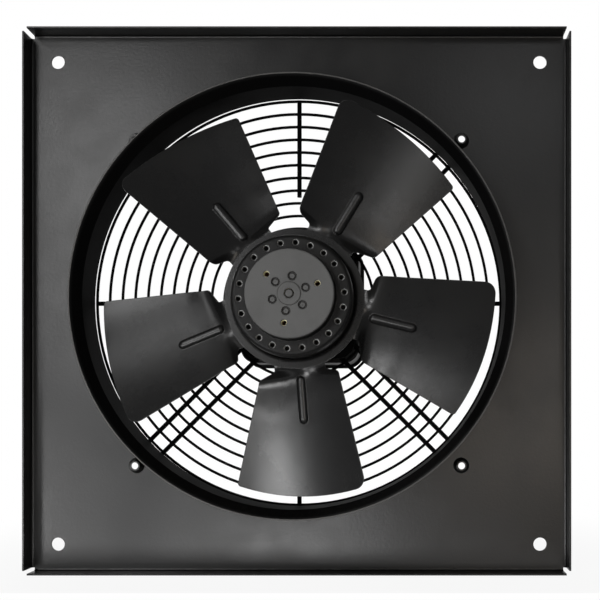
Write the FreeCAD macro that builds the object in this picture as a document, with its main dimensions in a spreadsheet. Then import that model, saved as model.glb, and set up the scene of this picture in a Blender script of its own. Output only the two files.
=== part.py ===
import FreeCAD, Part
import math
import os

import Sketcher
from FreeCAD import Placement, Rotation, Vector

# Driving dimensions, in millimetres, degrees and counts.
# Heights are measured from the front face of the wall plate, positive towards the viewer.
SIZES = {
    # wall plate
    "plate_side": 485.0,
    "sheet": 1.5,
    "flange_height": 16.0,
    "corner_notch": 4.0,
    "fold_radius": 1.5,
    "bolt_inset": 25.0,
    "bolt_hole_radius": 6.0,
    "boss_margin": 17.0,
    "boss_radius": 7.0,
    "boss_top_radius": 4.5,
    "boss_height": 6.0,
    "boss_bore_radius": 3.1,
    # nozzle
    "throat_radius": 182.0,
    "nozzle_bend": 8.0,
    "crease_height": 35.2,
    "lip_height": 46.3,
    "lip_flare": 7.0,
    # guard
    "guard_inset": 8.0,
    "ring_gap": 1.55,
    "ring_count": 11,
    "ring_wire": 1.25,
    "spoke_wire": 2.0,
    "spoke_first_ring": 4,
    "spoke_lap": 5.2,
    "leg_lap": 20.5,
    "leg_gap": 16.3,
    # motor carrier
    "carrier_side": 100.0,
    "carrier_corner": 15.0,
    "carrier_sheet": 2.5,
    "carrier_window": 13.0,
    "screw_inset": 12.0,
    "screw_radius": 2.5,
    "screw_clearance": 0.1,
    "screw_grip": 4.0,
    "head_radius": 4.6,
    "head_height": 3.2,
    "washer_radius": 5.5,
    "washer_sheet": 1.0,
    "lead_offset": 24.0,
    "lead_radius": 3.0,
    # connection box
    "box_margin": 3.5,
    "box_corner": 13.0,
    "box_clearance": 0.5,
    "box_depth": 40.0,
    "box_wall": 2.5,
    "corner_block": 10.0,
    "foot_radius": 6.5,
    "lid_lap": 3.0,
    "lid_sheet": 4.0,
    "lid_round": 1.5,
    "post_inset": 8.5,
    "lid_screw_radius": 1.8,
    "lid_screw_length": 14.0,
    "lid_head_radius": 3.5,
    "lid_head_height": 2.2,
    "pilot_depth": 11.0,
    "inlet_margin": 14.0,
    "grommet_radius": 5.0,
    "grommet_lip": 1.6,
    "grommet_bore": 3.0,
    # stator
    "flange_radius": 48.0,
    "flange_sheet": 6.0,
    "flange_step": 4.0,
    "tube_radius": 15.0,
    "tube_shoulder": 2.0,
    "stack_rear": 14.0,
    "stack_length": 26.0,
    "stator_radius": 37.2,
    "slot_count": 12,
    "slot_floor": 21.0,
    "slot_roof": 34.0,
    "slot_width": 6.0,
    "slot_mouth": 2.4,
    "insulator_sheet": 1.0,
    "winding_inner": 20.0,
    "winding_outer": 34.0,
    "winding_height": 5.0,
    "winding_chamfer": 1.5,
    # rotor
    "air_gap": 0.4,
    "rotor_radius": 51.8,
    "rotor_wall": 2.0,
    "rotor_rear": 6.0,
    "vent_floor_height": 51.5,
    "shoulder_radius": 4.0,
    "cap_radius": 37.0,
    "cap_draft": 1.2,
    "face_height": 64.4,
    "vent_count": 22,
    "vent_circle": 44.7,
    "vent_radius": 2.75,
    "vent_angle": 3.6,
    "cage_inner": 40.0,
    "cage_height": 3.5,
    # shaft and bearings
    "shaft_radius": 4.0,
    "shaft_proud": 0.8,
    "nose_radius": 3.1,
    "nose_length": 2.0,
    "nose_chamfer": 0.3,
    "bore_chamfer": 0.5,
    "shaft_tail": 2.6,
    "hub_collar_radius": 9.5,
    "hub_collar_proud": 0.6,
    "hub_disc_radius": 30.0,
    "hub_disc_sheet": 4.0,
    "hub_boss_length": 4.4,
    "rivet_count": 6,
    "rivet_circle": 14.6,
    "rivet_angle": 19.7,
    "rivet_shank": 2.2,
    "rivet_head": 2.7,
    "rivet_top": 2.0,
    "rivet_sink": 0.5,
    "rivet_dish_radius": 0.9,
    "rivet_dish_depth": 0.5,
    "well_mouth": 3.8,
    "well_floor": 3.4,
    "well_depth": 1.3,
    "tapped_count": 3,
    "tapped_circle": 24.7,
    "tapped_radius": 2.6,
    "tapped_core": 2.1,
    "bearing_radius": 11.0,
    "bearing_width": 7.0,
    "bearing_setback": 1.0,
    "race_inner": 5.55,
    "race_outer": 9.55,
    "ball_count": 7,
    "ball_radius": 1.9,
    "spring_radius": 6.4,
    "spring_length": 3.0,
    "clip_sheet": 0.9,
    "clip_radius": 6.2,
    "clip_gap": 4.0,
    "groove_depth": 0.5,
    # impeller
    "blade_count": 5,
    "blade_angle": 58.4,
    "impeller_sheet": 1.5,
    "blade_sheet": 1.2,
    "collar_rear": 20.0,
    "collar_bend": 3.5,
    "collar_margin": 0.5,
    "hub_ring_front": 31.0,
    "hub_ring_radius": 60.6,
    "root_lap": 4.8,
    "tip_radius": 172.0,
    "neck_half": 22.0,
    "notch_margin": 1.4,
    "lead_root_margin": 7.4,
    "lead_root_offset": 38.5,
    "lead_tip_inset": 14.0,
    "lead_tip_offset": 65.4,
    "trail_root_margin": 4.4,
    "trail_root_offset": 34.0,
    "trail_tip_inset": 17.0,
    "trail_tip_offset": 49.1,
    "blade_pitch": 22.3,
    "camber_rise": 10.7,
    "blade_sink": 3.5,
    "twist_lap": 2.6,
    "twist_length": 12.0,
    "bead_margin": 5.4,
    "bead_length": 43.0,
    "bead_radius": 4.5,
    "bead_lift": 0.2,
    "notch_round": 3.0,
    "root_round": 5.0,
    "lead_tip_round": 3.0,
    "trail_tip_round": 10.0,
}

DEGREES_ROUND = 360.0
LEG_COUNT = 4
SCREW_COUNT = 4
DIAGONAL = 45.0

# Length of a cutting tool that reaches past the whole impeller.
THROUGH = 120.0

# Spare sheet round a blade before it is cut to outline.
BLANK_MARGIN = 20.0

# Distance within which an edge counts as lying at a place.
NEAR = 0.01

# The fan axis points to the front, along -Y; pieces are drawn with it along their own Z.
FRONT = Rotation(Vector(1, 0, 0), 90)

doc = FreeCAD.newDocument("axial_fan")
sheet = doc.addObject("Spreadsheet::Sheet", "Dims")
for row, (alias, number) in enumerate(SIZES.items(), 1):
    sheet.set(f"A{row}", alias)
    sheet.set(f"B{row}", str(number))
    sheet.setAlias(f"B{row}", alias)
doc.recompute()

nodes = []


class Size:
    """A number together with the sheet expression that gives it."""

    def __init__(self, number, text):
        self.number = number
        self.text = text

    def joined(self, other, sign, number):
        return Size(number, f"({self.text} {sign} {other.text})")

    def __add__(self, other):
        other = as_size(other)
        return self.joined(other, "+", self.number + other.number)

    def __sub__(self, other):
        other = as_size(other)
        return self.joined(other, "-", self.number - other.number)

    def __mul__(self, other):
        other = as_size(other)
        return self.joined(other, "*", self.number * other.number)

    def __truediv__(self, other):
        other = as_size(other)
        return self.joined(other, "/", self.number / other.number)

    def __neg__(self):
        return Size(-self.number, f"(-1 * {self.text})")


def as_size(value):
    return value if isinstance(value, Size) else Size(float(value), f"({float(value)!r})")


def dim(alias):
    return Size(float(sheet.get(alias)), f"Dims.{alias}")


def cosine(angle):
    angle = as_size(angle)
    return Size(math.cos(math.radians(angle.number)), f"cos({angle.text})")


def sine(angle):
    angle = as_size(angle)
    return Size(math.sin(math.radians(angle.number)), f"sin({angle.text})")


def root(value):
    return Size(math.sqrt(value.number), f"sqrt({value.text})")


def share_of_turn(index, count):
    return as_size(DEGREES_ROUND * index) / count


def bind(item, name, value):
    item.setExpression(name, as_size(value).text)


def keep(item, label):
    """Registers a finished sub-part under the name of its file."""
    item.Label = label
    nodes.append(item)
    return item


def facing_front(item, turn=0.0):
    item.Placement = Placement(Vector(), FRONT.multiply(Rotation(Vector(0, 0, 1), turn)))
    return item


# Sketches and features inside one body

def new_body(label):
    return facing_front(keep(doc.addObject("PartDesign::Body", label), label))


def origin_feature(body, role):
    return next(item for item in body.Origin.OriginFeatures if item.Role == role)


def new_sketch(body, name, plane):
    sketch = body.newObject("Sketcher::SketchObject", f"{body.Name}_{name}")
    sketch.AttachmentSupport = [(origin_feature(body, plane), "")]
    sketch.MapMode = "FlatFace"
    return sketch


def tie(sketch, kind, geometry, value, point=None):
    """Adds a size constraint that follows its expression; a point is placed from the origin."""
    if point is None:
        index = sketch.addConstraint(Sketcher.Constraint(kind, geometry, value.number))
    else:
        index = sketch.addConstraint(Sketcher.Constraint(kind, -1, 1, geometry, point, value.number))
    bind(sketch, f"Constraints[{index}]", value)


def arc_between(start, end, radius, leftward):
    middle = (start + end) * 0.5
    chord = end - start
    rise = math.sqrt(max(radius ** 2 - (chord.Length / 2) ** 2, 0.0))
    side = Vector(-chord.y, chord.x, 0).normalize() * (rise if leftward else -rise)
    centre = middle + side
    first, last = (start, end) if leftward else (end, start)
    angles = [math.atan2(p.y - centre.y, p.x - centre.x) for p in (first, last)]
    return Part.ArcOfCircle(Part.Circle(centre, Vector(0, 0, 1), radius), *angles)


def draw_outline(sketch, corners, arcs=None):
    """Draws a closed outline; arcs gives the radius and turn of the edge that leaves a corner."""
    arcs = arcs or {}
    corners = [(as_size(x), as_size(y)) for x, y in corners]
    points = [Vector(x.number, y.number, 0) for x, y in corners]
    starts = []
    ends = []
    for index, start in enumerate(points):
        end = points[(index + 1) % len(points)]
        if index in arcs:
            radius, leftward = arcs[index]
            geometry = sketch.addGeometry(arc_between(start, end, radius.number, leftward), False)
            tie(sketch, "Radius", geometry, radius)
            starts.append((geometry, 1 if leftward else 2))
            ends.append((geometry, 2 if leftward else 1))
        else:
            geometry = sketch.addGeometry(Part.LineSegment(start, end), False)
            starts.append((geometry, 1))
            ends.append((geometry, 2))
    for index, (x, y) in enumerate(corners):
        geometry, point = starts[index]
        sketch.addConstraint(Sketcher.Constraint("Coincident", *ends[index - 1], geometry, point))
        tie(sketch, "DistanceX", geometry, x, point)
        tie(sketch, "DistanceY", geometry, y, point)


def draw_circle(sketch, x, y, radius):
    x, y, radius = as_size(x), as_size(y), as_size(radius)
    circle = Part.Circle(Vector(x.number, y.number, 0), Vector(0, 0, 1), radius.number)
    geometry = sketch.addGeometry(circle, False)
    tie(sketch, "Radius", geometry, radius)
    tie(sketch, "DistanceX", geometry, x, 3)
    tie(sketch, "DistanceY", geometry, y, 3)


def pad(body, sketch, length, rearward=False):
    feature = body.newObject("PartDesign::Pad", f"{sketch.Name}_pad")
    feature.Profile = sketch
    bind(feature, "Length", length)
    feature.Reversed = rearward
    return feature


def pocket(body, sketch):
    """Cuts the sketch right through the body, to both sides of its plane."""
    feature = body.newObject("PartDesign::Pocket", f"{sketch.Name}_cut")
    feature.Profile = sketch
    feature.Type = "ThroughAll"
    feature.Midplane = True
    return feature


def revolve(body, sketch):
    feature = body.newObject("PartDesign::Revolution", f"{sketch.Name}_turn")
    feature.Profile = sketch
    feature.ReferenceAxis = (sketch, ["V_Axis"])
    feature.Angle = DEGREES_ROUND
    return feature


def repeat_round(body, features, count):
    pattern = body.newObject("PartDesign::PolarPattern", f"{features[0].Name}_round")
    pattern.Originals = features
    pattern.Axis = (origin_feature(body, "Z_Axis"), [""])
    pattern.Angle = DEGREES_ROUND
    bind(pattern, "Occurrences", count)
    body.Tip = pattern
    return pattern


def round_edges(body, name, radius, wanted):
    doc.recompute()
    base = body.Tip
    names = [f"Edge{i}" for i, edge in enumerate(base.Shape.Edges, 1) if wanted(edge)]
    feature = body.newObject("PartDesign::Fillet", f"{body.Name}_{name}")
    feature.Base = (base, names)
    bind(feature, "Radius", radius)
    return feature


def holes_round(body, name, circle, radius, count, angle):
    """Cuts a ring of round holes along the fan axis."""
    sketch = new_sketch(body, name, "XY_Plane")
    draw_circle(sketch, circle * cosine(angle), circle * sine(angle), radius)
    repeat_round(body, [pocket(body, sketch)], count)


def turned(label, corners, arcs=None):
    """A body turned about the fan axis from corners given as radius and height."""
    body = new_body(label)
    sketch = new_sketch(body, "profile", "XZ_Plane")
    draw_outline(sketch, corners, arcs)
    revolve(body, sketch)
    return body


def ring(label, inner, outer, low, high):
    return turned(label, [(inner, low), (outer, low), (outer, high), (inner, high)])


def rounded_block(label, half, corner, low, high):
    """A square block across the fan axis with its four edges along the axis rounded."""
    body = new_body(label)
    blank = new_sketch(body, "blank", "XZ_Plane")
    draw_outline(blank, [(-half, low), (half, low), (half, high), (-half, high)])
    block = pad(body, blank, half * 2)
    block.Midplane = True
    round_edges(body, "corners", corner,
                lambda e: abs(abs(e.CenterOfMass.x) - half.number) < NEAR
                and abs(abs(e.CenterOfMass.y) - half.number) < NEAR)
    return body


# Primitives and booleans

def cylinder(name, radius, height, x=0.0, y=0.0, low=0.0):
    item = doc.addObject("Part::Cylinder", name)
    bind(item, "Radius", radius)
    bind(item, "Height", height)
    place(item, x, y, low)
    return item


def cone(name, low_radius, high_radius, height, x, y, low):
    item = doc.addObject("Part::Cone", name)
    bind(item, "Radius1", low_radius)
    bind(item, "Radius2", high_radius)
    bind(item, "Height", height)
    place(item, x, y, low)
    return item


def place(item, x, y, z):
    bind(item, "Placement.Base.x", x)
    bind(item, "Placement.Base.y", y)
    bind(item, "Placement.Base.z", z)


def gather(kind, name, pieces):
    item = doc.addObject(kind, name)
    if kind == "Part::Compound":
        item.Links = pieces
    else:
        item.Shapes = pieces
    return item


def cut(name, base, tool):
    item = doc.addObject("Part::Cut", name)
    item.Base = base
    item.Tool = tool
    return item


def screw(radius, length, head_radius, head_height, x, y, seat):
    """A plain screw driven towards the front, its head behind the seat."""
    head = cylinder("screw_head", head_radius, head_height, x, y, seat - head_height)
    shank = cylinder("screw_shank", radius, length, x, y, seat)
    return gather("Part::MultiFuse", "screw", [head, shank])


# Heights and distances that several pieces share
plate_rear = -dim("sheet")
wire_height = plate_rear - dim("spoke_wire")
ring_height = plate_rear + dim("ring_wire")
nozzle_edge = dim("throat_radius") + dim("nozzle_bend")
boss_circle = nozzle_edge + dim("boss_margin")
carrier_half = dim("carrier_side") / 2
carrier_reach = (carrier_half - dim("carrier_corner")) / cosine(DIAGONAL) + dim("carrier_corner")
carrier_front = plate_rear + dim("carrier_sheet")
screw_circle = carrier_half - dim("screw_inset")
screw_hole = dim("screw_radius") + dim("screw_clearance")
box_half = carrier_half + dim("box_margin")
box_front = wire_height - dim("spoke_wire") - dim("box_clearance")
box_inside = box_front - dim("box_wall")
box_rim = box_front - dim("box_depth")
post_reach = box_half - dim("post_inset")
ring_first = carrier_reach + dim("ring_gap") + dim("ring_wire")
ring_last = nozzle_edge - dim("guard_inset")
ring_pitch = (ring_last - ring_first) / (dim("ring_count") - 1)
flange_front = carrier_front + dim("flange_sheet")
stack_front = dim("stack_rear") + dim("stack_length")
face_rear = dim("face_height") - dim("rotor_wall")
hub_rear = face_rear - dim("hub_disc_sheet") - dim("hub_boss_length")
front_bearing_high = hub_rear - dim("spring_length")
front_bearing_low = front_bearing_high - dim("bearing_width")
tube_front = front_bearing_high + dim("bearing_setback")
rear_bearing_low = carrier_front + dim("bearing_setback")
rear_bearing_high = rear_bearing_low + dim("bearing_width")
core_inner = dim("stator_radius") + dim("air_gap")
rotor_inner = dim("rotor_radius") - dim("rotor_wall")
screw_angles = [DEGREES_ROUND / SCREW_COUNT * index for index in range(SCREW_COUNT)]


def make_wall_plate():
    body = new_body("wall_plate")
    half = dim("plate_side") / 2
    inset = half - dim("corner_notch")
    inner = half - dim("sheet")

    plate = new_sketch(body, "plate", "XY_Plane")
    draw_outline(plate, [
        (inset, -half), (inset, -inset), (half, -inset), (half, inset), (inset, inset), (inset, half),
        (-inset, half), (-inset, inset), (-half, inset), (-half, -inset), (-inset, -inset), (-inset, -half),
    ])
    pad(body, plate, dim("sheet"), rearward=True)

    edges = new_sketch(body, "edges", "XY_Plane")
    for sign in (1, -1):
        far = half * sign
        near = inner * sign
        draw_outline(edges, [(near, -inset), (far, -inset), (far, inset), (near, inset)])
        draw_outline(edges, [(-inset, near), (inset, near), (inset, far), (-inset, far)])
    pad(body, edges, dim("flange_height"))

    def along_fold(edge, offset, height):
        """True for a straight edge at this distance from the axis and at this height."""
        middle = edge.CenterOfMass
        reach = max(abs(middle.x), abs(middle.y))
        return edge.Length > half.number and abs(reach - offset) < NEAR and abs(middle.z - height) < NEAR

    inside = dim("fold_radius")
    round_edges(body, "inner_fold", inside, lambda e: along_fold(e, inner.number, 0.0))
    outside = inside + dim("sheet")
    round_edges(body, "outer_fold", outside, lambda e: along_fold(e, half.number, plate_rear.number))

    opening = new_sketch(body, "opening", "XY_Plane")
    draw_circle(opening, 0, 0, nozzle_edge)
    pocket(body, opening)

    throat = dim("throat_radius")
    bend = dim("nozzle_bend")
    thick = dim("sheet")
    turn_height = plate_rear + bend
    rise = dim("lip_height") - dim("crease_height")
    slant = root(dim("lip_flare") * dim("lip_flare") + rise * rise)
    lean_sine = dim("lip_flare") / slant
    lean_cosine = rise / slant
    mitre = thick * (slant - rise) / dim("lip_flare")
    nozzle = new_sketch(body, "nozzle", "XZ_Plane")
    draw_outline(nozzle, [
        (nozzle_edge, plate_rear),
        (nozzle_edge, 0),
        (throat + thick, turn_height),
        (throat + thick, dim("crease_height") - mitre),
        (throat + dim("lip_flare") + thick * lean_cosine, dim("lip_height") - thick * lean_sine),
        (throat + dim("lip_flare"), dim("lip_height")),
        (throat, dim("crease_height")),
        (throat, turn_height),
    ], {1: (bend - thick, False), 7: (bend, True)})
    revolve(body, nozzle)

    x = boss_circle * cosine(DIAGONAL)
    y = boss_circle * sine(DIAGONAL)
    height = dim("boss_height")
    lean = (dim("boss_radius") - dim("boss_top_radius")) / height
    boss = body.newObject("PartDesign::AdditiveCone", "boss")
    bind(boss, "Radius1", dim("boss_radius"))
    bind(boss, "Radius2", dim("boss_top_radius"))
    bind(boss, "Height", height)
    place(boss, x, y, 0)
    hollow = body.newObject("PartDesign::SubtractiveCone", "boss_hollow")
    bind(hollow, "Radius1", dim("boss_radius") - thick + lean * thick)
    bind(hollow, "Radius2", dim("boss_top_radius") - thick + lean * thick)
    bind(hollow, "Height", height)
    place(hollow, x, y, plate_rear)
    bore = new_sketch(body, "boss_bore", "XY_Plane")
    draw_circle(bore, x, y, dim("boss_bore_radius"))
    repeat_round(body, [boss, hollow, pocket(body, bore)], LEG_COUNT)

    bolts = new_sketch(body, "bolts", "XY_Plane")
    reach = half - dim("bolt_inset")
    for x in (reach, -reach):
        for y in (reach, -reach):
            draw_circle(bolts, x, y, dim("bolt_hole_radius"))
    pocket(body, bolts)


def make_guard_rings():
    for index in range(int(dim("ring_count").number)):
        label = f"guard_ring_{index + 1:02d}"
        item = doc.addObject("Part::Torus", label)
        bind(item, "Radius1", ring_first + ring_pitch * index)
        bind(item, "Radius2", dim("ring_wire"))
        facing_front(keep(item, label))
        bind(item, "Placement.Base.y", -ring_height)


def make_guard_spokes():
    along_x = Rotation(Vector(0, 1, 0), 90)
    start = ring_first + ring_pitch * (dim("spoke_first_ring") - 1) - dim("spoke_lap")
    for index in range(LEG_COUNT):
        label = f"guard_spoke_{index + 1}"
        turn = DEGREES_ROUND / LEG_COUNT * index
        item = doc.addObject("Part::Cylinder", label)
        bind(item, "Radius", dim("spoke_wire"))
        bind(item, "Height", ring_last - start)
        spin = Rotation(Vector(0, 0, 1), turn)
        keep(item, label).Placement = Placement(Vector(), FRONT.multiply(spin).multiply(along_x))
        bind(item, "Placement.Base.x", start * cosine(turn))
        bind(item, "Placement.Base.y", -wire_height)
        bind(item, "Placement.Base.z", start * sine(turn))


def make_guard_legs():
    """Each pair of diagonal wires is one wire, bent back round a boss of the plate."""
    along_x = Rotation(Vector(0, 1, 0), 90)
    start = carrier_reach - dim("leg_lap")
    for index in range(LEG_COUNT):
        label = f"guard_leg_{index + 1}"
        runs = []
        for side in (1, -1):
            run = doc.addObject("Part::Cylinder", f"{label}_run")
            run.Placement = Placement(Vector(), along_x)
            bind(run, "Radius", dim("spoke_wire"))
            bind(run, "Height", boss_circle - start)
            place(run, start, dim("leg_gap") / 2 * side, wire_height)
            runs.append(run)
        turn = doc.addObject("Part::Torus", f"{label}_turn")
        turn.Placement = Placement(Vector(), Rotation(Vector(0, 0, 1), -90))
        bind(turn, "Radius1", dim("leg_gap") / 2)
        bind(turn, "Radius2", dim("spoke_wire"))
        turn.Angle3 = DEGREES_ROUND / 2
        place(turn, boss_circle, 0, wire_height)
        leg = gather("Part::MultiFuse", label, runs + [turn])
        facing_front(keep(leg, label), DIAGONAL + DEGREES_ROUND / LEG_COUNT * index)


def make_motor_carrier():
    body = rounded_block("motor_carrier", carrier_half, dim("carrier_corner"), plate_rear, carrier_front)
    window = new_sketch(body, "window", "XY_Plane")
    draw_circle(window, 0, 0, dim("carrier_window"))
    draw_circle(window, 0, -dim("lead_offset"), dim("lead_radius"))
    pocket(body, window)
    holes_round(body, "screws", screw_circle, screw_hole, SCREW_COUNT, 0.0)


def make_screws():
    """Screws that hold the box and the carrier to the motor flange, seated inside the box."""
    seat = box_inside - dim("washer_sheet")
    length = carrier_front + dim("screw_grip") - seat
    washers = []
    screws = []
    for angle in screw_angles:
        x = screw_circle * cosine(angle)
        y = screw_circle * sine(angle)
        disc = cylinder("washer_disc", dim("washer_radius"), dim("washer_sheet"), x, y, seat)
        bore = cylinder("washer_bore", screw_hole, dim("washer_sheet"), x, y, seat)
        washers.append(cut("washer", disc, bore))
        screws.append(screw(dim("screw_radius"), length, dim("head_radius"), dim("head_height"), x, y, seat))
    facing_front(keep(gather("Part::Compound", "motor_washers", washers), "motor_washers"))
    facing_front(keep(gather("Part::Compound", "motor_screws", screws), "motor_screws"))


def make_motor_flange():
    low = carrier_front
    step = flange_front - dim("flange_step") / 2
    body = turned("motor_flange", [
        (dim("tube_radius"), low), (dim("flange_radius"), low), (dim("flange_radius"), step),
        (dim("flange_radius") - dim("flange_step"), flange_front), (dim("tube_radius"), flange_front),
    ])
    holes_round(body, "screws", screw_circle, screw_hole, SCREW_COUNT, 0.0)
    lead = new_sketch(body, "lead", "XY_Plane")
    draw_circle(lead, 0, -dim("lead_offset"), dim("lead_radius"))
    pocket(body, lead)


def hollow_out(body, name, half_x, half_y):
    """Clears a square space in the box, from its rim to its floor."""
    space = body.newObject("PartDesign::SubtractiveBox", name)
    bind(space, "Length", half_x * 2)
    bind(space, "Width", half_y * 2)
    bind(space, "Height", box_inside - box_rim)
    place(space, -half_x, -half_y, box_rim)


def make_terminal_box():
    """Hollow box behind the carrier, on four feet that hold it clear of the guard wires."""
    body = rounded_block("terminal_box", box_half, dim("box_corner"), box_rim, box_front)
    wide = box_half - dim("box_wall")
    narrow = wide - dim("corner_block")
    hollow_out(body, "space_across", wide, narrow)
    hollow_out(body, "space_upright", narrow, wide)

    foot = body.newObject("PartDesign::AdditiveCylinder", "foot")
    bind(foot, "Radius", dim("foot_radius"))
    bind(foot, "Height", plate_rear - box_inside)
    place(foot, screw_circle, 0, box_inside)
    repeat_round(body, [foot], SCREW_COUNT)
    holes_round(body, "screws", screw_circle, screw_hole, SCREW_COUNT, 0.0)
    lead = new_sketch(body, "lead", "XY_Plane")
    draw_circle(lead, 0, -dim("lead_offset"), dim("lead_radius"))
    pocket(body, lead)

    pilot = body.newObject("PartDesign::SubtractiveCylinder", "pilot")
    bind(pilot, "Radius", dim("lid_screw_radius"))
    bind(pilot, "Height", dim("pilot_depth"))
    place(pilot, post_reach, post_reach, box_rim)
    repeat_round(body, [pilot], SCREW_COUNT)

    inlet = body.newObject("PartDesign::SubtractiveCylinder", "inlet")
    inlet.Placement = Placement(Vector(), Rotation(Vector(1, 0, 0), -90))
    bind(inlet, "Radius", dim("grommet_radius"))
    bind(inlet, "Height", dim("box_wall"))
    place(inlet, 0, -box_half, box_rim + dim("inlet_margin"))


def make_terminal_lid():
    lap = dim("lid_lap")
    rear = box_rim - dim("lid_sheet")
    body = rounded_block("terminal_lid", box_half + lap, dim("box_corner") + lap, rear, box_rim)
    round_edges(body, "rear_edge", dim("lid_round"), lambda e: abs(e.BoundBox.ZMax - rear.number) < NEAR)
    holes = new_sketch(body, "holes", "XY_Plane")
    screws = []
    for x in (post_reach, -post_reach):
        for y in (post_reach, -post_reach):
            draw_circle(holes, x, y, dim("lid_screw_radius") + dim("screw_clearance"))
            screws.append(screw(dim("lid_screw_radius"), dim("lid_screw_length"), dim("lid_head_radius"),
                                dim("lid_head_height"), x, y, rear))
    pocket(body, holes)
    facing_front(keep(gather("Part::Compound", "lid_screws", screws), "lid_screws"))


def make_cable_grommet():
    """Inlet in the underside of the box, turned about an upright axis."""
    reach = dim("grommet_radius")
    lip = dim("grommet_lip")
    bore = dim("grommet_bore")
    outside = -box_half
    inside = outside + dim("box_wall")
    body = turned("cable_grommet", [
        (bore, outside - lip), (reach + lip, outside - lip), (reach + lip, outside), (reach, outside),
        (reach, inside), (reach + lip, inside), (reach + lip, inside + lip), (bore, inside + lip),
    ])
    body.Placement = Placement()
    bind(body, "Placement.Base.y", -(box_rim + dim("inlet_margin")))


def make_bearing_tube():
    seat = dim("bearing_radius")
    bore = seat - dim("tube_shoulder")
    outer = dim("tube_radius")
    turned("bearing_tube", [
        (seat, carrier_front), (outer, carrier_front), (outer, tube_front), (seat, tube_front),
        (seat, front_bearing_low), (bore, front_bearing_low),
        (bore, rear_bearing_high), (seat, rear_bearing_high),
    ])


def make_stator():
    low = dim("stack_rear")
    body = ring("stator_core", dim("tube_radius"), dim("stator_radius"), low, stack_front)
    slot = new_sketch(body, "slot", "XY_Plane")
    mouth = dim("slot_mouth") / 2
    foot = dim("slot_width") / 2
    roof = foot * dim("slot_roof") / dim("slot_floor")
    past = dim("stator_radius") + dim("slot_mouth")
    draw_outline(slot, [
        (dim("slot_floor"), -foot), (dim("slot_roof"), -roof), (dim("slot_roof"), -mouth), (past, -mouth),
        (past, mouth), (dim("slot_roof"), mouth), (dim("slot_roof"), roof), (dim("slot_floor"), foot),
    ])
    repeat_round(body, [pocket(body, slot)], dim("slot_count"))
    thin = dim("insulator_sheet")
    ring("insulator_rear", dim("tube_radius"), dim("winding_outer"), low - thin, low)
    ring("insulator_front", dim("tube_radius"), dim("winding_outer"), stack_front, stack_front + thin)
    make_winding("winding_rear", low - thin, -1)
    make_winding("winding_front", stack_front + thin, 1)


def make_winding(label, base, sign):
    """End winding of the stator, bevelled away from the core."""
    inner = dim("winding_inner")
    outer = dim("winding_outer")
    bevel = dim("winding_chamfer")
    crown = base + dim("winding_height") * sign
    shoulder = crown - bevel * sign
    turned(label, [
        (inner, base), (outer, base), (outer, shoulder), (outer - bevel, crown), (inner + bevel, crown),
        (inner, shoulder),
    ])


def make_rotor_cup():
    outer = dim("rotor_radius")
    wall = dim("rotor_wall")
    shoulder = dim("shoulder_radius")
    floor = dim("vent_floor_height")
    face = dim("face_height")
    cap = dim("cap_radius")
    cap_foot = cap + dim("cap_draft")
    bore = dim("hub_collar_radius")
    body = turned("rotor_cup", [
        (rotor_inner, dim("rotor_rear")), (outer, dim("rotor_rear")), (outer, floor - shoulder),
        (outer - shoulder, floor), (cap_foot, floor), (cap, face), (bore, face), (bore, face_rear),
        (cap - wall, face_rear), (cap_foot - wall, floor - wall), (outer - shoulder, floor - wall),
        (rotor_inner, floor - shoulder),
    ], {2: (shoulder, True), 10: (shoulder - wall, False)})
    round_edges(body, "face_edge", wall / 2,
                lambda e: abs(e.BoundBox.ZMin - face.number) < NEAR
                and abs(e.BoundBox.XMax - cap.number) < NEAR)
    holes_round(body, "vents", dim("vent_circle"), dim("vent_radius"), dim("vent_count"), dim("vent_angle"))
    circle = dim("rivet_circle")
    angle = dim("rivet_angle")
    well = body.newObject("PartDesign::SubtractiveCone", "rivet_well")
    bind(well, "Radius1", dim("well_floor"))
    bind(well, "Radius2", dim("well_mouth"))
    bind(well, "Height", dim("well_depth"))
    place(well, circle * cosine(angle), circle * sine(angle), face - dim("well_depth"))
    repeat_round(body, [well], dim("rivet_count"))
    holes_round(body, "rivets", circle, dim("rivet_shank"), dim("rivet_count"), angle)
    holes_round(body, "tapped", dim("tapped_circle"), dim("tapped_radius"), dim("tapped_count"), angle)


def make_rotor_core():
    low = dim("stack_rear")
    rise = dim("cage_height")
    ring("rotor_core", core_inner, rotor_inner, low, stack_front)
    ring("cage_ring_rear", dim("cage_inner"), rotor_inner, low - rise, low)
    ring("cage_ring_front", dim("cage_inner"), rotor_inner, stack_front, stack_front + rise)


def make_shaft_hub():
    shaft = dim("shaft_radius")
    collar = dim("hub_collar_radius")
    disc = dim("hub_disc_radius")
    disc_rear = face_rear - dim("hub_disc_sheet")
    tip = dim("face_height") + dim("hub_collar_proud")
    body = turned("shaft_hub", [
        (shaft, hub_rear), (collar, hub_rear), (collar, disc_rear), (disc, disc_rear), (disc, face_rear),
        (collar, face_rear), (collar, tip), (shaft + dim("bore_chamfer"), tip),
        (shaft, tip - dim("bore_chamfer")),
    ])
    angle = dim("rivet_angle")
    holes_round(body, "rivets", dim("rivet_circle"), dim("rivet_shank"), dim("rivet_count"), angle)
    holes_round(body, "tapped", dim("tapped_circle"), dim("tapped_core"), dim("tapped_count"), angle)


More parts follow.
